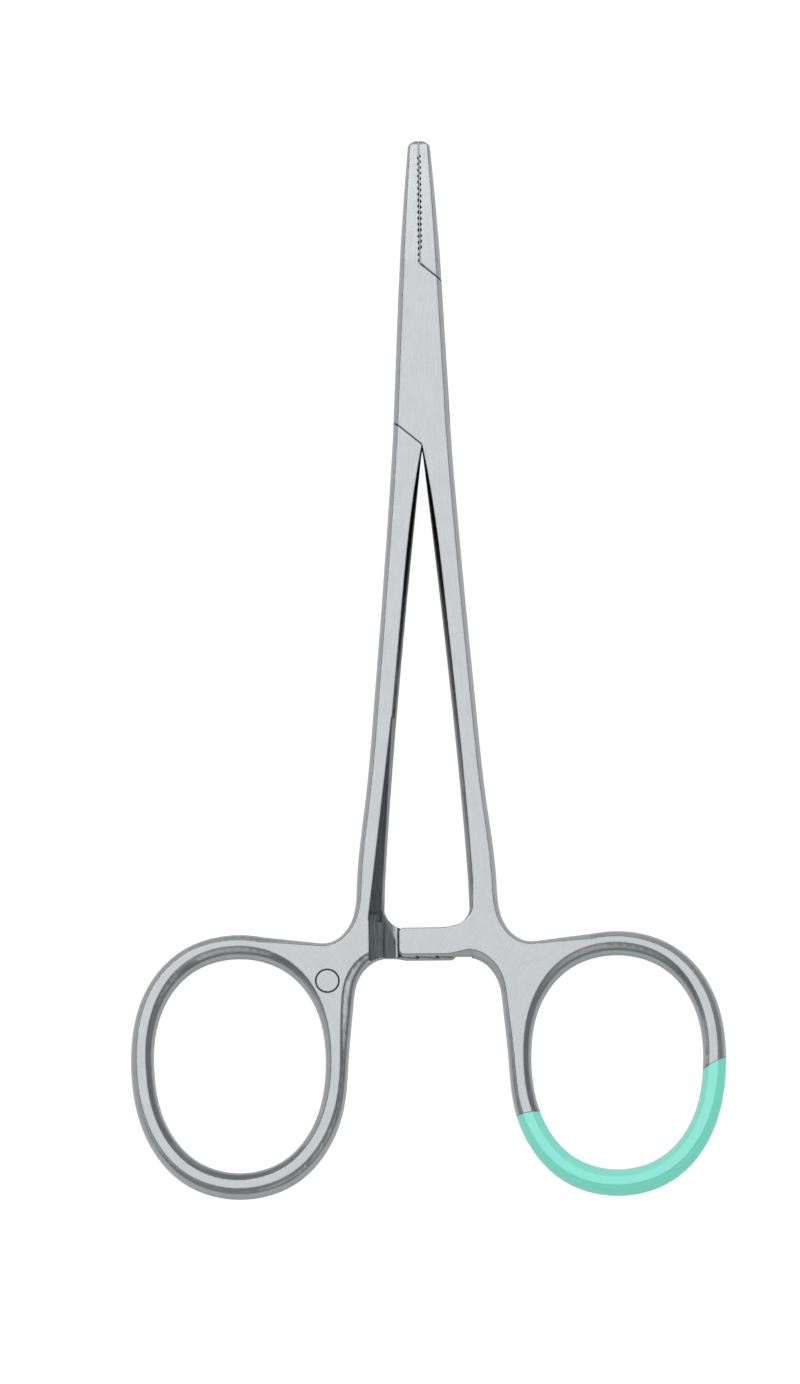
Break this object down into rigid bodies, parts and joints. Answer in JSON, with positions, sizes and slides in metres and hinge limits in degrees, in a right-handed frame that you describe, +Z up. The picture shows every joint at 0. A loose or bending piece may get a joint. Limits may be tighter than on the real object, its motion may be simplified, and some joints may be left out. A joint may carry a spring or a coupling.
{
  "type": "needle holder",
  "caption": "Straight surgical needle holder with a box lock, serrated jaws, a ratchet between the shanks and oval finger rings, one ring partly coated in turquoise.",
  "frame": {"origin": "on the axis of the lock pin, in the plane of the back faces that the instrument lies on", "axes": "+Y along the instrument towards the jaw tips, +X towards the coated ring, +Z up out of the front face"},
  "size_m": [0.0716, 0.13, 0.004],
  "materials": {
    "steel": "satin ground stainless steel",
    "pin_steel": "satin, ground flush with the lock",
    "coat": "glossy turquoise coat"
  },
  "bodies": {
    "box_body": {"box_half": "steel", "lock_pin": "pin_steel", "ring_coating": "coat"},
    "tongue_body": {"tongue_half": "steel"}
  },
  "joints": [
    {"name": "box_lock_pivot", "type": "hinge", "parent": "box_body", "child": "tongue_body", "pos_m": [0, 0, 0.002], "axis": [0, 0, -1], "range_deg": [0, 60]}
  ]
}
